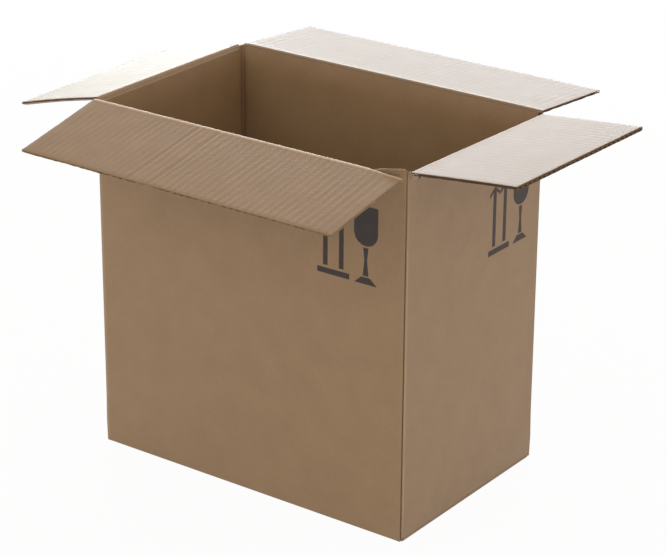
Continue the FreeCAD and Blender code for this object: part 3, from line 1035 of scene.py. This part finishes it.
def make_bottom(walls: Walls) -> list[FlatBoard]:
    """Return the four flaps of the glued bottom: two outer ones, then two inner ones that lie on them."""
    thick = walls.board.thickness
    glue, half_seam = 0.05 * MM, 0.25 * MM
    outer_gap, inner_gap, inner_reach = 0.3 * MM, 7.0 * MM, 112.0 * MM
    # The ends of the outer flaps are pressed shut, so their liners nearly fill the board.
    crushed = replace(walls.board, liner=1.8 * MM)

    def flap(
        name: str, out: Vector, depth: float, half: float, foot: float, reach: float, board: Board
    ) -> FlatBoard:
        """Return the flap that runs in from the foot of the wall on one side."""
        return FlatBoard(
            f"bottom_{name}_flap", out * depth + UP * foot, UP.cross(out), -out,
            lambda along: -half, lambda along: half, spread((0.0, reach, 6)), board,
        )

    outer_depth = walls.half_width - thick + glue
    inner_depth = walls.half_length - thick + glue
    outer = (outer_depth, walls.half_length - outer_gap, 0.0, outer_depth - half_seam, crushed)
    inner = (inner_depth, walls.half_width - inner_gap, thick, inner_reach - thick, walls.board)
    return [
        flap("front", Vector((0.0, -1.0, 0.0)), *outer),
        flap("back", Vector((0.0, 1.0, 0.0)), *outer),
        flap("left", Vector((-1.0, 0.0, 0.0)), *inner),
        flap("right", Vector((1.0, 0.0, 0.0)), *inner),
    ]


def make_glue_tab(walls: Walls) -> FlatBoard:
    """Return the tab that joins the blank's ends, glued inside the right wall."""
    width, slant, length = 35.0 * MM, 9.0 * MM, 332.0 * MM
    least_width, foot, glue = 0.6 * MM, 14.0 * MM, 0.05 * MM
    inside = walls.half_width - walls.board.thickness

    def free_edge(along: float) -> float:
        """Return the tab's free edge, which slants in at both ends."""
        share = min(1.0, along / slant, (length - along) / slant)
        return inside - max(least_width, width * share)

    face = walls.half_length - 2.0 * walls.board.thickness - glue
    rows = spread((0.0, slant, 3), (slant, length - slant, 8), (length - slant, length, 3))
    return FlatBoard(
        "glued_tab", Vector((face, 0.0, foot)), Vector((0.0, 1.0, 0.0)), UP.copy(), free_edge,
        lambda along: inside, rows,
    )


# The stage


@dataclass
class Studio:
    """The floor, the lights that look at the aim, and the camera with its angles in degrees."""

    camera_place: Vector = field(default_factory=lambda: Vector((1.3315, -1.8031, 1.1204)))
    azimuth: float = 36.0617
    elevation: float = 22.6313
    roll: float = 0.3626
    lens: float = 133.71
    sensor: float = 36.0
    floor_size: float = 20.0
    floor_grey: float = 0.86
    floor_glow: float = 0.96
    sky: Colour = (1.0, 0.86, 0.76)
    sky_strength: float = 0.63
    aim: Vector = field(default_factory=lambda: Vector((0.0, 0.0, 0.25)))

    def shoot(self) -> None:
        """Put the camera where the photograph was taken from."""
        turn, rise, roll = (math.radians(a) for a in (self.azimuth, self.elevation, self.roll))
        away = Vector((math.sin(turn), -math.cos(turn), 0.0))
        back = away * math.cos(rise) + UP * math.sin(rise)
        level = (-back).cross(UP).normalized()
        upright = level.cross(-back)
        right = level * math.cos(roll) + upright * math.sin(roll)
        top = upright * math.cos(roll) - level * math.sin(roll)
        data = bpy.data.cameras.new("camera")
        data.lens = self.lens
        data.sensor_width = self.sensor
        data.sensor_fit = "HORIZONTAL"
        data.clip_end = 200.0
        camera = bpy.data.objects.new("camera", data)
        turned = Matrix((right, top, back)).transposed().to_4x4()
        camera.matrix_world = Matrix.Translation(self.camera_place) @ turned
        bpy.context.scene.collection.objects.link(camera)
        bpy.context.scene.camera = camera

    def lay_floor(self) -> None:
        """Lay a pale floor that shows white to the camera and keeps a faint shadow."""
        material = bpy.data.materials.new("pale_floor")
        material.use_nodes = True
        place = NodePlace(material.node_tree)
        material.node_tree.nodes.remove(material.node_tree.nodes["Principled BSDF"])
        paint = place.add("ShaderNodeBsdfDiffuse")
        paint.inputs["Color"].default_value = (*(self.floor_grey,) * 3, 1.0)
        glow = place.add("ShaderNodeEmission")
        rays = place.add("ShaderNodeLightPath")
        seen = place.math("MAXIMUM", rays.outputs["Is Camera Ray"], rays.outputs["Is Transmission Ray"])
        seen = place.math("MAXIMUM", seen, rays.outputs["Is Glossy Ray"])
        share = place.math("MULTIPLY", seen, self.floor_glow)
        blend = place.add("ShaderNodeMixShader")
        place.join(share, blend.inputs[0])
        place.join(paint.outputs[0], blend.inputs[1])
        place.join(glow.outputs[0], blend.inputs[2])
        place.join(blend.outputs[0], material.node_tree.nodes["Material Output"].inputs["Surface"])
        mesh = bmesh.new()
        bmesh.ops.create_grid(mesh, x_segments=4, y_segments=4, size=self.floor_size)
        data = bpy.data.meshes.new("floor")
        mesh.to_mesh(data)
        mesh.free()
        data.materials.append(material)
        floor = bpy.data.objects.new("floor", data)
        bpy.context.scene.collection.objects.link(floor)

    def hang_lamp(
        self, name: str, place: Vector, size: tuple[float, float], power: float, tint: Colour
    ) -> None:
        """Hang one soft lamp that looks at the box.

        Args:
            name: The lamp's name.
            place: Its place in metres.
            size: Its width and height in metres.
            power: Its power in watts.
            tint: Its colour.
        """
        data = bpy.data.lights.new(name, "AREA")
        data.shape = "RECTANGLE"
        data.size, data.size_y = size
        data.energy = power
        data.color = tint
        lamp = bpy.data.objects.new(name, data)
        lamp.location = place
        lamp.rotation_euler = (self.aim - place).to_track_quat("-Z", "Y").to_euler()
        bpy.context.scene.collection.objects.link(lamp)

    def light(self) -> None:
        """Set the soft studio light."""
        world = bpy.data.worlds.new("studio")
        bpy.context.scene.world = world
        world.use_nodes = True
        backdrop = world.node_tree.nodes["Background"]
        backdrop.inputs["Color"].default_value = (*self.sky, 1.0)
        backdrop.inputs["Strength"].default_value = self.sky_strength
        self.hang_lamp("front_lamp", Vector((-0.9, -3.1, 2.3)), (2.4, 2.0), 17.0, (0.95, 1.0, 0.90))
        self.hang_lamp("side_lamp", Vector((3.4, -0.6, 1.5)), (2.0, 1.6), 6.5, (1.0, 0.90, 0.70))
        self.hang_lamp("back_lamp", Vector((-1.5, 3.6, 1.2)), (4.0, 1.8), 140.0, (0.80, 0.91, 1.0))
        self.hang_lamp("low_lamp", Vector((-3.4, 2.6, 0.55)), (2.2, 0.8), 37.0, (0.89, 1.0, 1.0))


def main() -> None:
    """Build the box piece by piece, then the studio."""
    logging.basicConfig(level=logging.INFO, format="%(name)s: %(message)s")
    bpy.context.scene.view_settings.view_transform = "Standard"
    groups = {"pulp": make_pulp_group(), "flutes": make_flute_group()}
    brown = {"pale": (0.41, 0.280, 0.160), "deep": (0.31, 0.205, 0.112)}
    long_face = Kraft("kraft_long_side", across=(1.0, 0.0, 0.0), **brown).make(groups)
    short_face = Kraft("kraft_short_side", across=(0.0, 1.0, 0.0), **brown).make(groups)
    cut_edge = Kraft(
        "kraft_cut_edge", (0.13, 0.09, 0.06), (0.07, 0.045, 0.03), roughness=(0.7, 0.85)
    ).make(groups)
    long_papers, short_papers = (long_face, cut_edge), (short_face, cut_edge)

    low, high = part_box("box_body")
    major = Hinge.from_joint("front_crease").pivot.z
    minor = Hinge.from_joint("right_crease").pivot.z
    walls = Walls(high.x, high.y, major, minor)
    walls.build(long_papers)
    for piece in make_bottom(walls):
        face = long_face if abs(piece.across.x) > 0.5 else short_face
        piece.build((face, face))
    make_glue_tab(walls).build(short_papers)

    reach, long_half, short_half = 110.5 * MM, 179.7 * MM, 109.2 * MM
    front_tear, right_tear = 145.0 * MM, -95.0 * MM
    front = TopFlap(
        "front_flap_board", "front_crease", "front_flap", long_half, reach + 2.5 * MM,
        lift=Corners(0.0, 0.4 * MM, 0.5 * MM, 0.0),
        side_crush=2.4 * MM, free_crush=2.3 * MM, edge_darkness=0.08, start_edge_darkness=0.95, highlight_strength=0.9, flute_depth=0.85,
        ends=Corners(0.0, 0.0, 3.8 * MM, 0.3 * MM),
        pressed=(-47.5 * MM, -22.7 * MM),
        open_root=lambda across: across > front_tear,
        swelling=lambda across, out: 0.6 * MM * hump(out - 35.0 * MM, 25.0 * MM) if across > 0 else 0.0,
        dent=lambda across, out: (
            -1.5 * MM * smooth((across - front_tear) / (32.0 * MM)) * hump(out, 30.0 * MM)
        ),
        column_step=1.1 * MM,
    )
    back = TopFlap(
        "back_flap_board", "back_crease", "back_flap", long_half, reach,
        lift=Corners(-2.2 * MM, -2.6 * MM, 0.0, 0.0),
        ends=Corners(0.0, 0.0, 0.8 * MM, -1.6 * MM),
        shoulder=3.0 * MM, side_crush=2.1 * MM, root_shade=0.35, flute_depth=0.75,
    )
    left = TopFlap(
        "left_flap_board", "left_crease", "left_flap", short_half, reach,
        lift=Corners(1.2 * MM, 2.2 * MM, 0.0, 0.0),
        ends=Corners(-2.4 * MM, 0.0, 3.7 * MM, -6.4 * MM),
        bow=1.0 * MM, shoulder=2.6 * MM, side_crush=3.0 * MM,
    )
    right = TopFlap(
        "right_flap_board", "right_crease", "right_flap", short_half, reach + 0.9 * MM,
        lift=Corners(6.3 * MM, 0.8 * MM, 1.5 * MM, -3.3 * MM),
        side_crush=2.0 * MM, free_crush=0.6 * MM,
        ends=Corners(-1.8 * MM, 0.0, 1.0 * MM, -1.4 * MM),
        bow=0.4 * MM, shoulder=3.0 * MM, flute_depth=0.55,
        open_root=lambda across: across < right_tear,
    )
    front.build((long_face, long_face), "front_flap")
    back.build(long_papers, "back_flap")
    left.build(short_papers, "left_flap")
    right.build(short_papers, "right_flap")

    ink = PrintInk().make(groups)
    for node in ("front_handling_marks", "side_handling_marks"):
        marks = frame["nodes"][node]
        for place in marks.material_slots:
            place.material = ink

    studio = Studio()
    studio.shoot()
    studio.lay_floor()
    studio.light()


if __name__ == "__main__":
    main()
